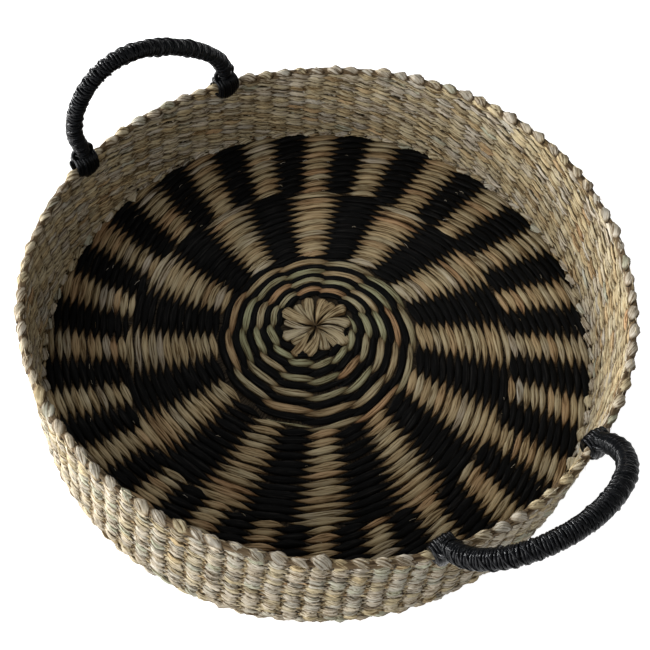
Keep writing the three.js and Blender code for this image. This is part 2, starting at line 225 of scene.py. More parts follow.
# one twined strand: it floats over every second column, slants across its course
# and dives between the columns
def twinedStrand(strands, angle, phase, sign, course, surface, closed=True, ends=1.0):
    wave = sign * np.cos(phase) - course["bias"]
    if closed:  # the ends meet where the strand dives
        start = np.argmin(np.abs(wave))
        angle, phase, wave = (np.roll(values, -start) for values in (angle, phase, wave))
    onTop = wave > 0
    firm = np.abs(wave) / np.where(onTop, 1 - course["bias"], 1 + course["bias"])
    stitch = np.cumsum(np.diff(onTop, prepend=onTop[0]))
    count = stitch.max() + 1
    if closed:
        stitch = stitch % (count - 1)
    wide, crossing, taper, slant, flatness, shade, edge = (
        np.where(onTop, course["front"][key], course["back"][key])
        for key in ("wide", "crossing", "taper", "slant", "flatness", "shade", "edge"))

    def perStitch(mean, spread):
        return rng.normal(mean, spread, count)[stitch]

    widen = perStitch(0, course["uneven"])
    shiftAcross = perStitch(0, course["wander"]) * firm
    lift = perStitch(0, course["wander"] * course["heave"]) * firm
    tone = perStitch(course["tone"], course["toneSpread"])
    # painted bounce light: the inside face of the wall is drawn warmer than the outside
    tone = tone + np.where(onTop, 0, course["paintedBounceTone"])
    # painted light: the mean gain draws the wall's strands lighter than the floor's; the spread is
    # each stitch's own random tone
    paintedLightGain = perStitch(course["paintedLightGain"], course["brightSpread"])
    depth = np.where(onTop, 1, -1) * (course["float"] * firm ** flatness + lift)
    offset = -sign * slant * np.sin(phase) + shiftAcross
    halfWidth = crossing + (wide * (1 + widen) - crossing) * firm ** taper
    halfThick = course["round"] + (course["thick"] - course["round"]) * firm
    centre, normal = surface(angle, offset, depth)
    strands.add(centre, normal, halfWidth * ends, halfThick * ends,
                np.clip(tone, 0, 1), paintedLightGain * firm ** shade,
                course["sides"], closed, course["grain"], course["rough"], edge)


def floorSurface(radius, height=trayForm["floorMiddle"]):
    def place(angle, offset, depth):
        centre = trayPoint(radius + offset, angle, height + depth)
        return centre, upwardAt(centre)
    return place


def wallSurface(height):
    def place(angle, offset, depth):
        centre = trayPoint(trayForm["wallMiddle"] + depth, angle, height + offset)
        return centre, outwardAt(angle)
    return place


# materials
def newGroup(name, inputs, outputs):
    group = bpy.data.node_groups.new(name, "ShaderNodeTree")
    for label, value in inputs:
        socket = group.interface.new_socket(label, in_out="INPUT", socket_type="NodeSocketFloat")
        socket.default_value = value
    for label in outputs:
        group.interface.new_socket(label, in_out="OUTPUT", socket_type="NodeSocketFloat")
    return group, group.nodes.new("NodeGroupInput"), group.nodes.new("NodeGroupOutput")


def link(tree, source, target):
    tree.links.new(source, target)


def mathNode(tree, operation, first, second):
    node = tree.nodes.new("ShaderNodeMath")
    node.operation = operation
    for socket, value in zip(node.inputs, (first, second)):
        if isinstance(value, (int, float)):
            socket.default_value = value
        else:
            link(tree, value, socket)
    return node.outputs[0]


def multiplyColour(tree, first, second):
    node = tree.nodes.new("ShaderNodeMix")
    node.data_type = "RGBA"
    node.blend_type = "MULTIPLY"
    node.inputs[0].default_value = 1.0
    link(tree, first, node.inputs[6])  # the two colours
    link(tree, second, node.inputs[7])
    return node.outputs[2]


def ramp(tree, source, stops):
    node = tree.nodes.new("ShaderNodeValToRGB")
    elements = node.color_ramp.elements
    while len(elements) < len(stops):
        elements.new(0.5)
    for element, (position, colour) in zip(elements, stops):
        element.position = position
        element.color = (*colour, 1)
    link(tree, source, node.inputs["Fac"])
    return node.outputs["Color"]


# streaks that run along each strand, with a slow blotching over the whole tray
fibreNoise = {
    "streak": {"Scale": 1.0, "Detail": 3.0},
    "fine": {"Scale": 3.1, "Detail": 2.0},
    "blotch": {"Scale": 22.0, "Detail": 2.0},
    "fineHeight": 0.45,  # share of the fine streaks in the relief
}


def noise(tree, vector, values):
    node = tree.nodes.new("ShaderNodeTexNoise")
    for key, value in values.items():
        node.inputs[key].default_value = value
    link(tree, vector, node.inputs["Vector"])
    return node.outputs["Fac"]


def attribute(tree, name):
    node = tree.nodes.new("ShaderNodeAttribute")
    node.attribute_name = name
    return node.outputs


def makeFibreGroup(spec):
    group, given, out = newGroup(
        "strandFibre",
        [("Streak Length", 0.06), ("Streak Width", 1.6)],
        ["Streak", "Fine", "Blotch", "Height", "Tone", "Level"],
    )
    scale = group.nodes.new("ShaderNodeCombineXYZ")
    for socket, label in zip(scale.inputs, ("Streak Length", "Streak Width", "Streak Width")):
        link(group, given.outputs[label], socket)
    stretched = group.nodes.new("ShaderNodeVectorMath")
    stretched.operation = "MULTIPLY"
    link(group, attribute(group, "fibre")["Vector"], stretched.inputs[0])
    link(group, scale.outputs[0], stretched.inputs[1])
    streak = noise(group, stretched.outputs[0], spec["streak"])
    fine = noise(group, stretched.outputs[0], spec["fine"])
    place = group.nodes.new("ShaderNodeTexCoord").outputs["Object"]
    height = mathNode(group, "ADD", streak, mathNode(group, "MULTIPLY", fine, spec["fineHeight"]))
    link(group, streak, out.inputs["Streak"])
    link(group, fine, out.inputs["Fine"])
    link(group, noise(group, place, spec["blotch"]), out.inputs["Blotch"])
    link(group, height, out.inputs["Height"])
    link(group, attribute(group, "tone")["Fac"], out.inputs["Tone"])
    link(group, attribute(group, "paintedLight")["Fac"], out.inputs["Level"])
    return group


fibreGroup = makeFibreGroup(fibreNoise)


def startMaterial(name, spec):
    material = bpy.data.materials.new(name)
    material.use_nodes = True
    tree = material.node_tree
    shader = tree.nodes["Principled BSDF"]
    shader.inputs["Specular IOR Level"].default_value = spec["specular"]
    fibre = tree.nodes.new("ShaderNodeGroup")
    fibre.node_tree = fibreGroup
    fibre.inputs["Streak Length"].default_value = spec["streakLength"]
    fibre.inputs["Streak Width"].default_value = spec["streakWidth"]
    relief = tree.nodes.new("ShaderNodeBump")
    relief.inputs["Strength"].default_value = spec["bump"]
    relief.inputs["Distance"].default_value = spec["bumpDepth"]
    link(tree, fibre.outputs["Height"], relief.inputs["Height"])
    link(tree, relief.outputs["Normal"], shader.inputs["Normal"])
    return material, tree, shader, fibre.outputs


naturalGrass = {
    "streakLength": 0.05, "streakWidth": 0.85, "bump": 0.9, "bumpDepth": 0.0008, "specular": 0.25,
    "drift": 0.7,  # how far the blotches and the fine streaks move the hue
    "wisp": 0.5,
    "hues": [
        (0.0, (0.35, 0.353, 0.262)),  # grey-green stems
        (0.13, (0.42, 0.394, 0.337)),  # bleached stems
        (0.3, (0.455, 0.4, 0.32)),
        (0.48, (0.44, 0.38, 0.25)),  # straw
        (0.7, (0.445, 0.35, 0.202)),
        (1.0, (0.41, 0.262, 0.14)),  # sun-reddened stems
    ],
    "streaks": [
        (0.37, (0.26, 0.2, 0.13)),
        (0.48, (0.85, 0.82, 0.76)),
        (0.66, (1.22, 1.22, 1.22)),
    ],
    "roughness": [(0.3, (0.9, 0.9, 0.9)), (0.75, (0.6, 0.6, 0.6))],
    "paintedLightRamp": [  # painted shade at dives and strand edges, painted light above 0.6
        (0.0, (0.03, 0.025, 0.02)),
        (0.22, (0.3, 0.23, 0.15)),
        (0.6, (1.0, 1.0, 1.0)),
        (1.0, (1.25, 1.25, 1.25)),
    ],
}
spiralGrass = dict(naturalGrass, hues=[  # greener stems, kept for the middle
    (0.0, (0.335, 0.345, 0.21)),
    (0.3, (0.375, 0.36, 0.225)),
    (0.5, (0.42, 0.37, 0.24)),
    (0.75, (0.445, 0.345, 0.2)),
    (1.0, (0.43, 0.27, 0.145)),
])
# stakes drawn near black as painted shade, seen only in the gaps between strands
stakeGrassPaintedShade = dict(naturalGrass, hues=[
    (0.0, (0.045, 0.038, 0.022)),
    (0.5, (0.075, 0.058, 0.034)),
    (1.0, (0.10, 0.07, 0.04)),
])


def makeNaturalGrass(name, spec):
    material, tree, shader, fibre = startMaterial(name, spec)
    hue = fibre["Tone"]
    for output, amount in ((fibre["Blotch"], spec["drift"]), (fibre["Fine"], spec["wisp"])):
        sway = mathNode(tree, "MULTIPLY", mathNode(tree, "SUBTRACT", output, 0.5), amount)
        hue = mathNode(tree, "ADD", hue, sway)
    colour = ramp(tree, hue, spec["hues"])
    colour = multiplyColour(tree, colour, ramp(tree, fibre["Streak"], spec["streaks"]))
    # painted light and shade multiplied into the colour
    colour = multiplyColour(tree, colour, ramp(tree, fibre["Level"], spec["paintedLightRamp"]))
    link(tree, colour, shader.inputs["Base Color"])
    link(tree, ramp(tree, fibre["Streak"], spec["roughness"]), shader.inputs["Roughness"])
    return material


blackGrass = {
    "streakLength": 0.05, "streakWidth": 0.85, "bump": 0.6, "bumpDepth": 0.0006, "specular": 0.06,
    "dye": [
        (0.25, (0.0016, 0.0016, 0.0015)),
        (0.55, (0.003, 0.003, 0.003)),
        (0.72, (0.016, 0.015, 0.014)),
    ],
    "roughness": [(0.3, (0.8, 0.8, 0.8)), (0.75, (0.5, 0.5, 0.5))],
}
blackTwine = {
    "streakLength": 0.35, "streakWidth": 2.6, "bump": 0.5, "bumpDepth": 0.0003, "specular": 0.15,
    "dye": [
        (0.25, (0.0012, 0.0015, 0.002)),
        (0.6, (0.0025, 0.003, 0.004)),
        (0.85, (0.01, 0.012, 0.015)),
    ],
    "roughness": [(0.3, (0.28, 0.28, 0.28)), (0.75, (0.12, 0.12, 0.12))],
}


def makeDyed(name, spec):
    material, tree, shader, fibre = startMaterial(name, spec)
    link(tree, ramp(tree, fibre["Streak"], spec["dye"]), shader.inputs["Base Color"])
    link(tree, ramp(tree, fibre["Fine"], spec["roughness"]), shader.inputs["Roughness"])
    return material


naturalMaterial = makeNaturalGrass("naturalGrass", naturalGrass)
spiralMaterial = makeNaturalGrass("spiralGrass", spiralGrass)
stakePaintedShadeMaterial = makeNaturalGrass("stakeGrassPaintedShade", stakeGrassPaintedShade)
blackMaterial = makeDyed("blackGrass", blackGrass)
twineMaterial = makeDyed("blackTwine", blackTwine)
print("materials made")

# floor courses: a natural and a black strand twined in pairs, so that they show as radial stripes
# painted shade: shade sets how fast a stitch darkens towards a dive, edge how dark its side edges are
# drawn; the underside's ends go near black
floorFace = {
    "wide": 2.95, "crossing": 0.35, "taper": 0.9, "slant": 1.45,
    "flatness": 0.8, "shade": 0.4, "edge": 0.25,
}
floorCourse = {
    "front": floorFace,
    "back": dict(floorFace, taper=1.5, shade=4.0),
    "bias": -0.35,  # below zero a strand floats longer on top
    "float": 1.6, "thick": 1.6, "round": 0.8,
    "uneven": 0.1, "wander": 0.35, "heave": 0.4,
    "tone": 0.65, "toneSpread": 0.15, "paintedBounceTone": 0.0,
    # painted light: the floor's strands are drawn darker than the wall's
    "paintedLightGain": 0.54, "brightSpread": 0.03,
    "sides": 18, "grain": 0.15, "rough": 0.03,
}
floorBands = {
    "firstRadius": 75.8, "splitRadius": trayForm["split"], "lastRadius": 196.0,
    "innerCourses": 12, "outerCourses": 10,
    "innerColumns": 24, "outerColumns": 48,
    "innerSteps": 14, "outerSteps": 10,
    "firstColumn": 23.6, "drift": -4.5, "columnSpread": 0.25,  # degrees
}


def floorCourses(spec, course):
    natural, black = StrandSet(), StrandSet()
    pitchIn = (spec["splitRadius"] - spec["firstRadius"]) / (spec["innerCourses"] - 0.5)
    pitchOut = (spec["lastRadius"] - spec["splitRadius"]) / spec["outerCourses"]
    rows = [(spec["firstRadius"] + pitchIn * i, spec["innerColumns"], spec["innerSteps"])
            for i in range(spec["innerCourses"])]
    rows += [(spec["splitRadius"] + pitchOut * (i + 0.5), spec["outerColumns"], spec["outerSteps"])
             for i in range(spec["outerCourses"])]
    for radius, columns, steps in rows:
        share = (radius - spec["firstRadius"]) / (spec["lastRadius"] - spec["firstRadius"])
        slip = rng.normal(0, spec["columnSpread"])
        middle = math.radians(spec["firstColumn"] + spec["drift"] * share + slip)
        angle = middle + np.linspace(0, fullTurn, columns * steps, endpoint=False)
        phase = columns / 2 * (angle - middle)
        for strands, sign in ((natural, 1), (black, -1)):
            twinedStrand(strands, angle, phase, sign, course, floorSurface(radius))
    natural.build("floorNaturalStrands", naturalMaterial, "tray", "natural_grass",
                  "floor_weave_natural")
    black.build("floorBlackStrands", blackMaterial, "tray", "black_grass", "floor_weave_black")


floorCourses(floorBands, floorCourse)

# spiral rows between the rosette and the stripes, each a pair of strands of one colour
# painted shade as on the floor: the underside's ends go near black
spiralFace = dict(floorFace, wide=2.75, crossing=1.0, taper=0.6, slant=1.2)
spiralCourse = dict(
    floorCourse, front=spiralFace, back=dict(spiralFace, shade=4.0),
    bias=-0.3, wander=0.25, tone=0.52, toneSpread=0.3,
)
spiralRows = {
    "start": 26.6, "pairPitch": 10.4, "turns": 4.4, "columns": 12, "stepsPerTurn": 144,
    "startAngle": 75.0,  # degrees
    "taperTurns": 0.12, "endShare": 0.15,
}
spiralBlackCourse = dict(spiralCourse, bias=-0.2)
spiralBlackRows = dict(spiralRows, start=21.4, turns=4.9)


def spiralPair(spec, course):
    strands = StrandSet()
    turn = np.linspace(0, spec["turns"], int(spec["turns"] * spec["stepsPerTurn"]))
    angle = math.radians(spec["startAngle"]) - fullTurn * turn
    radius = spec["start"] + spec["pairPitch"] * turn
    toEnd = np.minimum(turn, spec["turns"] - turn)
    ends = np.clip(toEnd / spec["taperTurns"], spec["endShare"], 1)
    phase = spec["columns"] / 2 * angle
    for sign in (1, -1):
        twinedStrand(strands, angle, phase, sign, course, floorSurface(radius), False, ends)
    return strands


spiralPair(spiralRows, spiralCourse).build(
    "spiralNaturalStrands", spiralMaterial, "tray", "natural_grass", "spiral_strand_natural")
spiralPair(spiralBlackRows, spiralBlackCourse).build(
    "spiralBlackStrands", blackMaterial, "tray", "black_grass", "spiral_strand_black")

# rosette of stake ends at the middle: fat, blocky petals
rosette = {
    "petals": 16, "steps": 26, "sides": 20,
    "inner": 0.6, "outer": 25.0, "uneven": 2.4,
    "shareSpread": 0.35,  # of a petal's share of the circle
    "swirl": -10.0, "swirlSpread": 0.4, "swirlCurve": 1.5,  # swirl in degrees
    "startSpread": 0.25,  # radians, at the middle
    "narrowest": 0.5, "widest": 4.6, "thick": 2.2, "innerThick": 0.5,  # innerThick as a share
    "tipLength": 0.2, "tipSquare": 3.5, "tipEnd": 0.05, "tipThin": 0.8,
    "lift": 0.9, "dome": 1.2, "domeCurve": 0.8, "heightSpread": 0.4,
    "tone": 0.6, "toneSpread": 0.12,
    "paintedLightGain": 0.54, "brightStart": 0.1, "brightRise": 2.4,  # painted shade where the petals meet
    "grain": 0.26, "rough": 0.03, "edge": 0.2,
}


def makeRosette(spec):
    strands = StrandSet()
    along = np.linspace(0, 1, spec["steps"])
    intoTip = np.clip((along - (1 - spec["tipLength"])) / spec["tipLength"], 0, 1)
    tip = np.sqrt(np.clip(1 - intoTip ** spec["tipSquare"], spec["tipEnd"], 1))
    # painted shade at the middle, where the petals meet, and towards the petal tips
    paintedLight = spec["paintedLightGain"] * np.clip(spec["brightStart"] + spec["brightRise"] * along, 0, 1) * tip
    thin = spec["innerThick"] + (1 - spec["innerThick"]) * along
    dome = spec["dome"] * np.sin(math.pi * along ** spec["domeCurve"])
    shares = 1 + rng.uniform(-spec["shareSpread"], spec["shareSpread"], spec["petals"])
    edges = np.concatenate([[0], np.cumsum(shares / shares.sum())]) * fullTurn
    for petal in range(spec["petals"]):
        half = (edges[petal + 1] - edges[petal]) / 2
        reach = spec["outer"] + rng.normal(0, spec["uneven"])
        radius = spec["inner"] + (reach - spec["inner"]) * along
        swirl = math.radians(spec["swirl"]) * (1 + rng.normal(0, spec["swirlSpread"]))
        start = rng.normal(0, spec["startSpread"]) * (1 - along) ** 2
        angle = edges[petal] + half + swirl * along ** spec["swirlCurve"] + start
        halfWidth = np.clip(radius * math.tan(half), spec["narrowest"], spec["widest"]) * tip
        halfThick = spec["thick"] * thin * tip ** spec["tipThin"]
        height = trayForm["floorMiddle"] + spec["lift"] + dome + rng.normal(0, spec["heightSpread"])
        centre = trayPoint(radius, angle, height)
        tone = np.clip(rng.normal(spec["tone"], spec["toneSpread"]), 0, 1)
        strands.add(centre, upwardAt(centre), halfWidth, halfThick, tone, paintedLight, spec["sides"],
                    False, spec["grain"], spec["rough"], spec["edge"])
    strands.build("rosettePetals", naturalMaterial, "tray", "natural_grass", "centre_rosette")


makeRosette(rosette)

# wall courses: natural pairs, ribbed by the stakes that they pass
wallCourse = {
    "front": {
        "wide": 3.45, "crossing": 1.1, "taper": 0.45, "slant": 1.2,
        "flatness": 0.8, "shade": 0.12, "edge": 0.95,
    },
    # painted shade: the inside face's edges and dives are drawn darker than the outside's
    "back": {
        "wide": 2.6, "crossing": 0.4, "taper": 0.9, "slant": 1.6,
        "flatness": 0.7, "shade": 0.34, "edge": 0.45,
    },
    "bias": 0.38,  # above zero a strand floats longer inside
    "float": 1.05, "thick": 1.5, "round": 1.15,
    "uneven": 0.24, "wander": 0.65, "heave": 0.4,
    # painted bounce light: the inside face is drawn warmer
    "tone": 0.28, "toneSpread": 0.16, "paintedBounceTone": 0.21,
    # painted light: the wall's strands are drawn lighter than the floor's
    "paintedLightGain": 0.78, "brightSpread": 0.13,
    "sides": 16, "grain": 0.34, "rough": 0.13,
}
wallRows = {
    "first": 5.9, "pitch": 5.85, "courses": 14, "columns": 96, "steps": 10,
    "phaseSpread": 0.16,
    "foot": 2.2, "cornerRadius": 198.4, "cornerHeight": 4.6, "cornerFloat": 0.9,
}


def wallCourses(spec, course):
    strands = StrandSet()
    angle = np.linspace(0, fullTurn, spec["columns"] * spec["steps"], endpoint=False)
    phase = spec["columns"] / 2 * angle

    def addPair(pairPhase, pairCourse, surface):
        for sign in (1, -1):
            twinedStrand(strands, angle, pairPhase, sign, pairCourse, surface)

    for row in range(spec["courses"]):
        surface = wallSurface(spec["first"] + spec["pitch"] * row)
        addPair(phase + rng.normal(0, spec["phaseSpread"]), course, surface)
    addPair(phase + math.pi / 2, course, wallSurface(spec["foot"]))
    corner = floorSurface(spec["cornerRadius"], spec["cornerHeight"])
    addPair(phase, dict(course, float=spec["cornerFloat"]), corner)
    strands.build("wallStrands", naturalMaterial, "tray", "natural_grass",
                  "wall_outer_weave", "wall_inner_weave")


wallCourses(wallRows, wallCourse)

# rim border: each stake end folded over the edge from the inside and tucked down outside
rimFolds = {
    "folds": 96, "steps": 19, "sides": 18,
    "middle": 201.6, "innerFoot": 84.0, "outerFoot": 81.0, "top": 85.6,
    "reach": 6.4, "span": 1.85, "arch": 0.75,
    "wide": 3.3, "tipWide": 1.5, "thick": 1.9, "tipThick": 0.55,  # tipThick as a share
    "outwardTurn": 1.3, "upwardTurn": 0.35,  # how a fold's face turns on its way over
    "uneven": 0.14, "stepSpread": 0.06, "reachSpread": 0.08,
    "radiusSpread": 0.35, "topSpread": 0.45,
    "tone": 0.27, "toneSpread": 0.12, "paintedLightGain": 0.62, "brightRise": 1.6,
    "grain": 0.18, "rough": 0.04, "edge": 0.3,
}
# the core is drawn dark as painted shade in the pits between the folds
rimCore = {
    "radius": 201.4, "height": 83.7, "thick": 2.4, "steps": 384, "sides": 12,
    "tone": 0.3, "paintedLight": 0.2, "grain": 0.3, "rough": 0.1,
}


def makeRim(spec, core):
    strands = StrandSet()
    angle = np.linspace(0, fullTurn, core["steps"], endpoint=False)
    centre = trayPoint(core["radius"], angle, core["height"])
    strands.add(centre, upwardAt(centre), core["thick"], core["thick"], core["tone"], core["paintedLight"],
                core["sides"], True, core["grain"], core["rough"])
    along = np.linspace(-1, 1, spec["steps"])
    bulge = np.cos(math.pi / 2 * along)
    foot = np.where(along < 0, spec["innerFoot"], spec["outerFoot"])
    # painted shade towards each fold's tucked ends
    paintedLight = spec["paintedLightGain"] * np.clip(spec["brightRise"] * bulge, 0, 1)
    for fold in range(spec["folds"]):
        size = 1 + rng.normal(0, spec["uneven"])
        middle = fullTurn * (fold + rng.normal(0, spec["stepSpread"])) / spec["folds"]
        reach = spec["reach"] * (1 + rng.normal(0, spec["reachSpread"]))
        turn = middle + reach * along / spec["middle"]
        radius = spec["middle"] + spec["span"] * along + rng.normal(0, spec["radiusSpread"])
        top = spec["top"] + rng.normal(0, spec["topSpread"])
        height = foot + (top - foot) * bulge ** spec["arch"]
        outward = outwardAt(turn) * spec["outwardTurn"] * along[:, None]
        normal = unit(outward + upward * (spec["upwardTurn"] + bulge)[:, None])
        wide = spec["tipWide"] + (spec["wide"] * size - spec["tipWide"]) * bulge
        thick = spec["thick"] * size * (spec["tipThick"] + (1 - spec["tipThick"]) * bulge)
        tone = np.clip(rng.normal(spec["tone"], spec["toneSpread"]), 0, 1)
        strands.add(trayPoint(radius, turn, height), normal, wide, thick, tone, paintedLight,
                    spec["sides"], False, spec["grain"], spec["rough"], spec["edge"])
    strands.build("rimFolds", naturalMaterial, "tray", "natural_grass", "rim_border")


makeRim(rimFolds, rimCore)

# stakes: flat grass stems that fill the middle layer, seen only between the strands, coloured dark as
# painted shade
stakeRows = {
    "stems": 192, "starts": (3.0, 46.0, 22.0, 46.0),  # radii, by turns round the tray
    "thick": 0.5, "cover": 1.12,
    "widened": (30, 60),  # inside these radii a stem is four times or twice as wide
    "corner": 4.0, "cornerCut": 1.2, "top": 83.0,
    "floorSteps": 16, "wallSteps": 8, "sides": 6,
    "tones": (0.2, 0.6), "paintedLight": 0.3, "cadStakes": 24,
}
crossedStrips = {
    "strips": 12, "reach": 34.0, "steps": 12, "wide": 5.5, "thick": 0.4,
    "drop": 0.3, "pile": 0.05, "tone": 0.3,
}


def makeStakes(spec, crossed):
    strands = StrandSet()
    edge, floor = trayForm["wallMiddle"], trayForm["floorMiddle"]
    onFloor, onWall = np.ones(spec["floorSteps"]), np.ones(spec["wallSteps"])
    wallRun = np.linspace(floor + spec["corner"], spec["top"], spec["wallSteps"])
    height = np.concatenate([floor * onFloor, [floor + spec["cornerCut"]], wallRun])
    rise = np.concatenate([0 * onFloor, [0.5], onWall])[:, None]
    for stem in range(spec["stems"]):
        start = spec["starts"][stem % len(spec["starts"])]
        floorRun = np.linspace(start, edge - spec["corner"], spec["floorSteps"])
        radius = np.concatenate([floorRun, [edge - spec["cornerCut"]], edge * onWall])
        angle = np.full(len(radius), fullTurn * (stem + 0.5) / spec["stems"])
        normal = unit(-outwardAt(angle) * rise + upward * (1 - rise))
        inner, outer = (radius < limit for limit in spec["widened"])
        times = np.where(inner, 4, np.where(outer, 2, 1))
        share = math.pi * np.maximum(radius, spec["starts"][0]) / spec["stems"]
        tone = rng.uniform(*spec["tones"])
        strands.add(trayPoint(radius, angle, height), normal, share * times * spec["cover"],
                    spec["thick"], tone, spec["paintedLight"], spec["sides"])
    reach = np.linspace(-crossed["reach"], crossed["reach"], crossed["steps"])
    for strip in range(crossed["strips"]):
        turn = math.pi * strip / crossed["strips"]
        angle = np.where(reach < 0, turn + math.pi, turn)
        centre = trayPoint(np.abs(reach), angle, floor - crossed["drop"] + crossed["pile"] * strip)
        strands.add(centre, upwardAt(centre), crossed["wide"], crossed["thick"], crossed["tone"],
                    spec["paintedLight"], spec["sides"])
    nodes = ["stake_%02d" % (i + 1) for i in range(spec["cadStakes"])]
    strands.build("stakeStems", stakePaintedShadeMaterial, "tray", "stake_grass", "crossed_stakes",
                  "floor_underside_weave", *nodes)


makeStakes(stakeRows, crossedStrips)

# stray fibres that stand out from the wall and the rim, and pale flecks on the floor that are painted
# glints
strayFibresAndGlintFlecks = {
    "length": (3.0, 10.0), "thick": 0.2, "steps": 7, "sides": 5, "tones": (0.2, 0.6),
    "curl": (0.1, 0.4), "curlCurve": 1.6, "rootThick": 1.1, "thinning": 0.8,
    "wall": {"count": 380, "heights": (6, 80), "out": 1.6, "outCurl": 1.0, "slopeSpread": 0.25},
    "rim": {"count": 120, "height": 88.0, "out": 0.5, "outCurl": 0.3, "upCurl": 1.2},
    # painted highlights: short pale flecks lying on the floor stand in for glints on the black strands
    "floor": {
        "count": 90, "lengthShare": 0.5, "thickShare": 0.6, "radius": 196, "spread": (0.15, 0.95),
        "height": 6.4, "slopeSpread": 0.3, "tone": 0.3,
    },
}


def makeStrayFibresAndGlintFlecks(spec):
    strands = StrandSet()
    along = np.linspace(0, 1, spec["steps"])
    wall, rim, floor = spec["wall"], spec["rim"], spec["floor"]
    taper = spec["thick"] * (spec["rootThick"] - spec["thinning"] * along)
    for fibre in range(wall["count"] + rim["count"]):
        onRim = fibre >= wall["count"]
        spot = rim if onRim else wall
        angle = rng.uniform(0, fullTurn)
        height = rim["height"] if onRim else rng.uniform(*wall["heights"])
        length = rng.uniform(*spec["length"])
        way = rng.choice((-1, 1))
        curl = length * rng.uniform(*spec["curl"]) * along ** spec["curlCurve"]
        turn = angle + way * length * along / trayForm["wallMiddle"]
        radius = trayForm["wallMiddle"] + spot["out"] + spot["outCurl"] * curl
        if onRim:
            height = height + rim["upCurl"] * curl
        else:
            height = height + length * rng.normal(0, wall["slopeSpread"]) * along
        tone = rng.uniform(*spec["tones"])
        strands.add(trayPoint(radius, turn, height), outwardAt(turn), taper, taper, tone, 1.0,
                    spec["sides"])
    # pale flecks on the floor, painted glints
    thick = floor["thickShare"] * spec["thick"]
    for fibre in range(floor["count"]):
        length = rng.uniform(*spec["length"]) * floor["lengthShare"]
        reach = math.sqrt(rng.uniform(*floor["spread"])) * floor["radius"]
        turn = rng.uniform(0, fullTurn) + length * along / reach
        radius = reach + length * rng.normal(0, floor["slopeSpread"]) * along
        centre = trayPoint(radius, turn, floor["height"] + np.sin(math.pi * along))
        strands.add(centre, upwardAt(centre), thick, thick, floor["tone"], 1.0, spec["sides"])
    strands.build("strayFibresAndGlintFlecks", naturalMaterial, "tray", "natural_grass")


makeStrayFibresAndGlintFlecks(strayFibresAndGlintFlecks)

# handles: a rope bow wound with twine, an eye at each end, and a lashing through each eye
handleForm = {
    "halfSpan": 61.2, "coreSteps": 48, "coreSides": 12,
    "eyeWidth": 7.4, "eyeHeight": 6.5, "eyeRope": 1.6, "eyeSteps": 28, "eyeSides": 10,
    "near": {"lean": 45.0, "rise": 66.0, "sway": -2.5, "slump": 0.0, "core": 4.9},
    "far": {"lean": 0.0, "rise": 75.5, "sway": 19.5, "slump": 0.05, "core": 4.0},
}
handleTwine = {
    "windings": [
        {"turns": 94, "lift": 0.85, "thick": 1.0, "wide": 1.1, "tilt": 1.0, "uneven": 0.14},
        {"turns": 30, "lift": 1.5, "thick": 0.75, "wide": 0.85, "tilt": -2.6, "uneven": 0.3},
    ],
    "stepsPerTurn": 28, "bowSteps": 400, "legSteps": 12, "sides": 12,
    "sleeve": 2.6,  # how far above the hinge the winding starts
    "neck": 9.0, "neckShare": 0.6,  # it tightens over this length at each foot
    "rollDrift": 0.02, "slip": 1.5,
    "tone": 0.5, "grain": 0.22, "rough": 0.02, "ply": 14.0,
}
lashForm = {
    "layers": [{"halfX": 6.9, "high": 3.2}, {"halfX": 5.0, "high": 1.4}],
    "turns": 9, "pitch": 1.85, "twine": 1.2, "stepsPerTurn": 28, "sides": 8,
    "low": -15.5, "round": 0.3, "leastX": 0.4, "square": 3.0, "uneven": 0.3, "tone": 0.5,
}


# millimetres along the hinge's own axes to the tray's frame
def handlePlace(side, lean):
    joint = next(j for j in frame["joints"] if j["name"] == side + "_handle_swing")
    middle = np.array(joint["pos_m"], float)
    along = unit(np.array(joint["axis"], float))
    outward = np.cross(along, upward)
    c, s = math.cos(math.radians(lean)), math.sin(math.radians(lean))
    sideAxis, upAxis = outward * c - upward * s, upward * c + outward * s

    def place(local):
        offset = local[..., :1] * sideAxis + local[..., 1:2] * along + local[..., 2:] * upAxis
        return middle + offset * mm
    return place


# a slow random looseness along a strand
def wobble(steps, knots, spread):
    return np.interp(np.arange(steps), np.linspace(0, steps, knots), rng.normal(0, spread, knots))


def bowCurve(turn, bow):
    eyeTop = 2 * handleForm["eyeHeight"]
    full = 1 - bow["slump"] * np.sin(2 * turn) ** 2
    along = handleForm["halfSpan"] * full * np.cos(turn) + bow["sway"] * np.sin(turn)
    high = eyeTop + (bow["rise"] - eyeTop) * full * np.sin(turn)
    return np.stack([np.zeros_like(turn), along, high], -1)


# the wound length: down each leg to just above the hinge, at even steps
def woundCurve(bow, steps):
    point = bowCurve(np.linspace(0, math.pi, handleTwine["bowSteps"]), bow)
    eyeTop = 2 * handleForm["eyeHeight"]
    legs = np.linspace(handleTwine["sleeve"], eyeTop, handleTwine["legSteps"], endpoint=False)
    first, last = (np.stack([0 * legs, 0 * legs + foot * handleForm["halfSpan"], legs], -1)
                   for foot in (1, -1))
    path = np.concatenate([first, point, last[::-1]])
    length = np.concatenate([[0], np.cumsum(np.linalg.norm(np.diff(path, axis=0), axis=1))])
    even = np.linspace(0, length[-1], steps)
    path = np.stack([np.interp(even, length, path[:, axis]) for axis in range(3)], -1)
    return path, unit(np.gradient(path, axis=0))


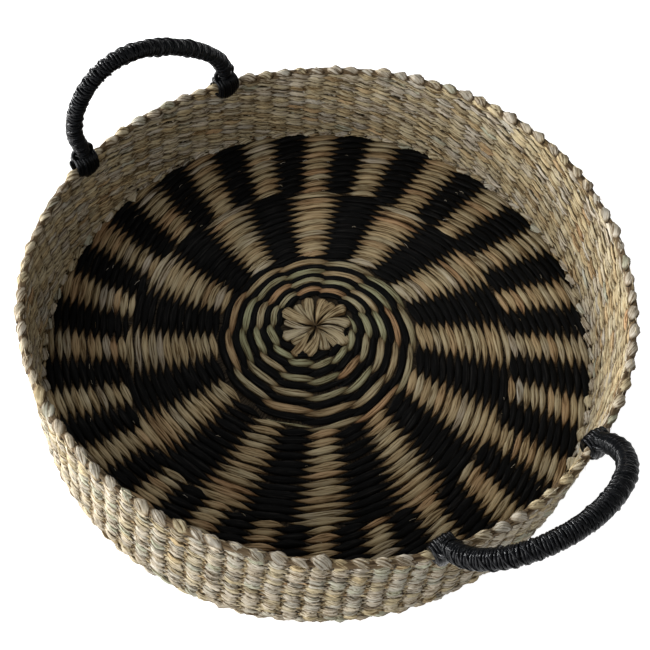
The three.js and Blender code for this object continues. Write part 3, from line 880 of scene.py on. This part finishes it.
def windRound(strands, bow, place, winding):
    turns = winding["turns"]
    steps = turns * handleTwine["stepsPerTurn"]
    point, ahead = woundCurve(bow, steps)
    side = np.broadcast_to(np.array([1.0, 0, 0]), point.shape)
    across = np.cross(ahead, side)
    drift = np.cumsum(rng.normal(0, handleTwine["rollDrift"], steps))
    roll = fullTurn * turns * np.linspace(0, 1, steps) + drift
    uneven = wobble(steps, 2 * turns, winding["uneven"])
    slip = wobble(steps, 2 * turns, winding["uneven"])
    out = side * np.cos(roll)[:, None] + across * np.sin(roll)[:, None]
    shift = winding["tilt"] * np.cos(roll) + handleTwine["slip"] * slip
    length = np.linspace(0, np.linalg.norm(np.diff(point, axis=0), axis=1).sum(), steps)
    neck = np.clip(np.minimum(length, length[-1] - length) / handleTwine["neck"], 0, 1)
    slim = handleTwine["neckShare"] + (1 - handleTwine["neckShare"]) * np.sqrt(neck)
    radius = bow["core"] * slim + winding["lift"] + uneven
    local = point + out * radius[:, None] + ahead * shift[:, None]
    centre = place(local)
    normal = unit(place(local + out) - centre)
    strands.add(centre, normal, winding["wide"], winding["thick"], handleTwine["tone"], 1.0,
                handleTwine["sides"], False, handleTwine["grain"], handleTwine["rough"],
                ply=handleTwine["ply"])


def makeHandle(side, spec):
    bow = spec[side]
    place = handlePlace(side, bow["lean"])
    core = StrandSet()

    def addRope(points, thick, sides, closed):
        normal = unit(place(points + np.array([1.0, 0, 0])) - place(points))
        core.add(place(points), normal, thick, thick, 1.0, 1.0, sides, closed)

    half = np.linspace(0, math.pi, spec["coreSteps"])
    addRope(bowCurve(half, bow), bow["core"], spec["coreSides"], False)
    turn = np.linspace(0, fullTurn, spec["eyeSteps"], endpoint=False)
    for foot in (1, -1):
        y = foot * spec["halfSpan"] + spec["eyeWidth"] * np.cos(turn)
        z = spec["eyeHeight"] * (1 + np.sin(turn))
        addRope(np.stack([0 * turn, y, z], -1), spec["eyeRope"], spec["eyeSides"], True)
    core.build(side + "HandleCore", twineMaterial, side + "_handle", "rope_core",
               side + "_handle_core")
    wrap = StrandSet()
    for winding in handleTwine["windings"]:
        windRound(wrap, bow, place, winding)
    wrap.build(side + "HandleTwine", twineMaterial, side + "_handle", "black_twine",
               side + "_handle_wrap")


def lashingPath(spec, layer, foot):
    steps = spec["turns"] * spec["stepsPerTurn"]
    turn = np.linspace(0, fullTurn * spec["turns"], steps)
    loose = wobble(steps, 4 * spec["turns"], spec["uneven"])
    c, s = np.cos(turn), np.sin(turn)
    reach = (np.abs(c) ** spec["square"] + np.abs(s) ** spec["square"]) ** (-1 / spec["square"])
    full = 1 - spec["round"] * np.linspace(-1, 1, steps) ** 2
    high = layer["high"] * (2 * full - 1)
    halfZ = (high - spec["low"] * full) / 2
    halfX = layer["halfX"] * (spec["leastX"] + (1 - spec["leastX"]) * full) + loose
    x = halfX * c * reach
    z = high - halfZ + halfZ * s * reach
    half = spec["turns"] * spec["pitch"] / 2
    y = foot * handleForm["halfSpan"] + np.linspace(-half, half, steps) + loose
    return np.stack([x, y, z], -1), np.stack([c, 0 * c, s], -1)


def makeLashings(side, spec):
    place = handlePlace(side, 0.0)
    for foot, label in ((1, "left"), (-1, "right")):
        strands = StrandSet()
        for layer in spec["layers"]:
            path, outward = lashingPath(spec, layer, foot)
            centre = place(path)
            normal = unit(place(path + outward) - centre)
            strands.add(centre, normal, spec["twine"], spec["twine"], spec["tone"], 1.0, spec["sides"])
        strands.build(side + label.title() + "Lashing", twineMaterial, "tray", "black_twine",
                      "%s_%s_lashing" % (side, label))


for side in ("near", "far"):
    makeHandle(side, handleForm)
    makeLashings(side, lashForm)
print("handles made")

# studio: a white table, soft light from the left of the picture
studio = {
    "tableSize": 6.0, "tableColour": (0.8, 0.8, 0.8), "tableGlow": 0.8,
    "worldLight": 0.345,
    "lamps": {
        "keyLight": {"azimuth": -17.0, "elevation": 12.8, "distance": 2.0, "size": 1.4, "power": 57.0},
        "sideLight": {"azimuth": -62.0, "elevation": 7.0, "distance": 2.2, "size": 0.5, "power": 66.0},
        "topLight": {"azimuth": -119.0, "elevation": 47.0, "distance": 2.2, "size": 0.3, "power": 9.0},
        "fillLight": {"azimuth": 40.0, "elevation": 30.0, "distance": 2.2, "size": 0.8, "power": 6.0},
    },
}


def lightPath(tree):
    return tree.nodes.new("ShaderNodeLightPath").outputs


def makeTable(spec):
    half = spec["tableSize"] / 2
    corners = [(-half, -half, 0), (half, -half, 0), (half, half, 0), (-half, half, 0)]
    mesh = bpy.data.meshes.new("table")
    mesh.from_pydata(corners, [], [(0, 1, 2, 3)])
    material = bpy.data.materials.new("tableTop")
    material.use_nodes = True
    tree = material.node_tree
    shader = tree.nodes["Principled BSDF"]
    shader.inputs["Base Color"].default_value = (*spec["tableColour"], 1)
    shader.inputs["Roughness"].default_value = 1.0
    shader.inputs["Specular IOR Level"].default_value = 0.0
    shader.inputs["Emission Color"].default_value = (1, 1, 1, 1)
    rays = lightPath(tree)
    seen = mathNode(tree, "MAXIMUM", rays["Is Camera Ray"], rays["Is Glossy Ray"])
    link(tree, mathNode(tree, "MULTIPLY", seen, spec["tableGlow"]), shader.inputs["Emission Strength"])
    mesh.materials.append(material)
    table = bpy.data.objects.new("table", mesh)
    bpy.context.collection.objects.link(table)


def makeLamp(name, spec):
    data = bpy.data.lights.new(name, "AREA")
    data.size = spec["size"]
    data.energy = spec["power"]
    lamp = bpy.data.objects.new(name, data)
    back = directionTo(spec)
    lamp.location = back * spec["distance"]
    lamp.rotation_euler = back.to_track_quat("Z", "Y").to_euler()
    bpy.context.collection.objects.link(lamp)


def makeWorld(spec):
    world = bpy.data.worlds.new("studio")
    bpy.context.scene.world = world
    world.use_nodes = True
    tree = world.node_tree
    background = tree.nodes["Background"]
    background.inputs["Color"].default_value = (1, 1, 1, 1)
    seen = lightPath(tree)["Is Camera Ray"]
    unseen = mathNode(tree, "SUBTRACT", 1.0, seen)
    dimmed = mathNode(tree, "MULTIPLY", unseen, spec["worldLight"])
    link(tree, mathNode(tree, "ADD", seen, dimmed), background.inputs["Strength"])


makeTable(studio)
for name, spec in studio["lamps"].items():
    makeLamp(name, spec)
makeWorld(studio)
bpy.context.scene.view_settings.view_transform = "Standard"
print("studio set")
